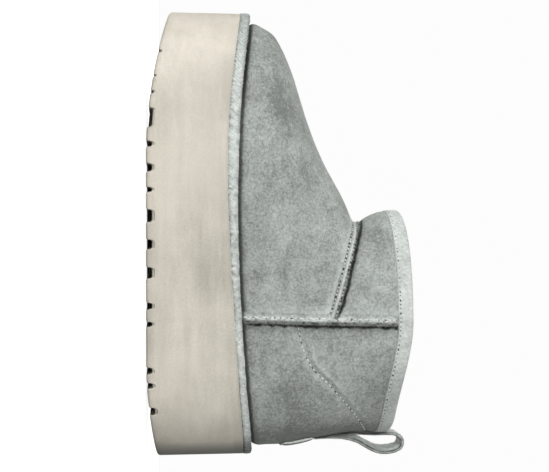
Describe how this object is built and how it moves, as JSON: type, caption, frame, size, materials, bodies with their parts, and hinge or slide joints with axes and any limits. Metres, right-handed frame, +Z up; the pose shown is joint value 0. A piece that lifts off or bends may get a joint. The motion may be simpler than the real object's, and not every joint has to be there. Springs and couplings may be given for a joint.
{
  "type": "platform ankle boot",
  "caption": "Low grey suede ankle boot on a thick cream moulded platform sole, with a woven welt, bound collar and pull loop at the back.",
  "frame": {"origin": "on the floor under the middle of the sole's length, on the flat of the tread", "axes": "+Z up from the floor, -Y towards the toe, +X towards the boot's outer side"},
  "size_m": [0.1003, 0.2701, 0.1565],
  "materials": {
    "suede": "matte napped suede",
    "platform_foam": "matte moulded foam",
    "woven_tape": "woven herringbone tape",
    "collar_tape": "soft folded tape",
    "fleece": "short curly fleece"
  },
  "bodies": {
    "root": {"sole": "platform_foam", "welt": "woven_tape", "insole": "fleece", "upper": "suede", "side_seam_outer": "suede", "side_seam_inner": "suede", "throat_seam": "suede", "collar_binding": "collar_tape", "pull_loop": "collar_tape", "heel_patch": "suede"}
  },
  "joints": []
}
